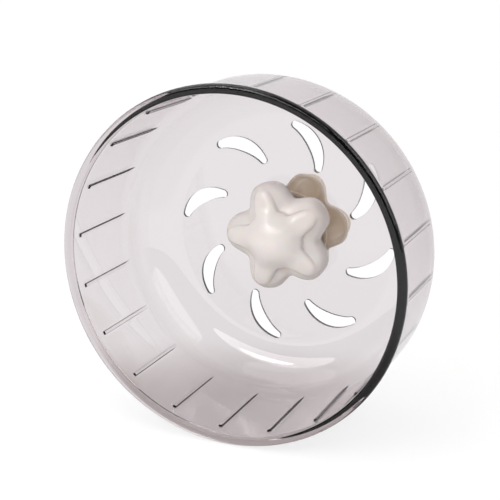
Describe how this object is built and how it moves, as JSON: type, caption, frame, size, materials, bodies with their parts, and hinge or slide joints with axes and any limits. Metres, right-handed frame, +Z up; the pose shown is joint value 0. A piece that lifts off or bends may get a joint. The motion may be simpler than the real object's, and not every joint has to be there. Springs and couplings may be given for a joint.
{
  "type": "hamster wheel",
  "caption": "Clear open-fronted running wheel for a small pet, with crescent vents and tread ribs, spinning on ball bearings under a star hub cap and clamped to cage wires by a star knob.",
  "frame": {"origin": "on the axle, in the plane where the inner clamp plate's rear face meets the cage wires", "axes": "+Z up, +Y along the axle from the wheel's open front to the clamp knob, +X to the right seen from the open front"},
  "size_m": [0.17, 0.1093, 0.17],
  "materials": {
    "clear_plastic": "clear moulded polystyrene, polished, faintly warm grey",
    "cream_plastic": "warm off-white moulded plastic, satin",
    "steel": "bright zinc and bearing steel",
    "brass": "machined brass nut moulded into the knob",
    "cage_plastic": "dark moulded ball cage"
  },
  "bodies": {
    "axle": {"axle_bolt": "steel", "head_shim": "steel", "front_bearing_inner_ring": "steel", "inner_spacer": "steel", "rear_bearing_inner_ring": "steel", "collar_shim": "steel", "jam_nut": "steel", "clamp_plate": "cream_plastic"},
    "wheel": {"drum": "clear_plastic", "front_star": "cream_plastic", "hub_flange": "cream_plastic", "hub_screw_1": "steel", "hub_screw_2": "steel", "hub_screw_3": "steel", "hub_screw_4": "steel", "hub_screw_5": "steel", "front_bearing_outer_ring": "steel", "front_bearing_front_shield": "steel", "front_bearing_rear_shield": "steel", "rear_bearing_outer_ring": "steel", "rear_bearing_front_shield": "steel", "rear_bearing_rear_shield": "steel"},
    "front_cage": {"front_bearing_cage": "cage_plastic", "front_bearing_ball_1": "steel", "front_bearing_ball_2": "steel", "front_bearing_ball_3": "steel", "front_bearing_ball_4": "steel", "front_bearing_ball_5": "steel", "front_bearing_ball_6": "steel", "front_bearing_ball_7": "steel"},
    "rear_cage": {"rear_bearing_cage": "cage_plastic", "rear_bearing_ball_1": "steel", "rear_bearing_ball_2": "steel", "rear_bearing_ball_3": "steel", "rear_bearing_ball_4": "steel", "rear_bearing_ball_5": "steel", "rear_bearing_ball_6": "steel", "rear_bearing_ball_7": "steel"},
    "washer": {"clamp_washer": "steel"},
    "knob": {"rear_star": "cream_plastic", "knob_nut": "brass"}
  },
  "joints": [
    {"name": "wheel_spin", "type": "hinge", "parent": "axle", "child": "wheel", "pos_m": [0, 0, 0], "axis": [0, 1, 0], "continuous": true},
    {"name": "front_cage_turn", "type": "hinge", "parent": "axle", "child": "front_cage", "pos_m": [0, 0, 0], "axis": [0, 1, 0], "continuous": true},
    {"name": "rear_cage_turn", "type": "hinge", "parent": "axle", "child": "rear_cage", "pos_m": [0, 0, 0], "axis": [0, 1, 0], "continuous": true},
    {"name": "washer_slide", "type": "slide", "parent": "axle", "child": "washer", "axis": [0, 1, 0], "range_m": [-0.0035, 0.01]},
    {"name": "knob_turn", "type": "hinge", "parent": "washer", "child": "knob", "pos_m": [0, 0, 0], "axis": [0, 1, 0], "range_deg": [-1260, 3600]}
  ],
  "couplings": [
    {"joint": "front_cage_turn", "follows": "wheel_spin", "ratio": 0.64},
    {"joint": "rear_cage_turn", "follows": "wheel_spin", "ratio": 0.64},
    {"joint": "washer_slide", "follows": "knob_turn", "m_per_rad": 0.00015915}
  ]
}
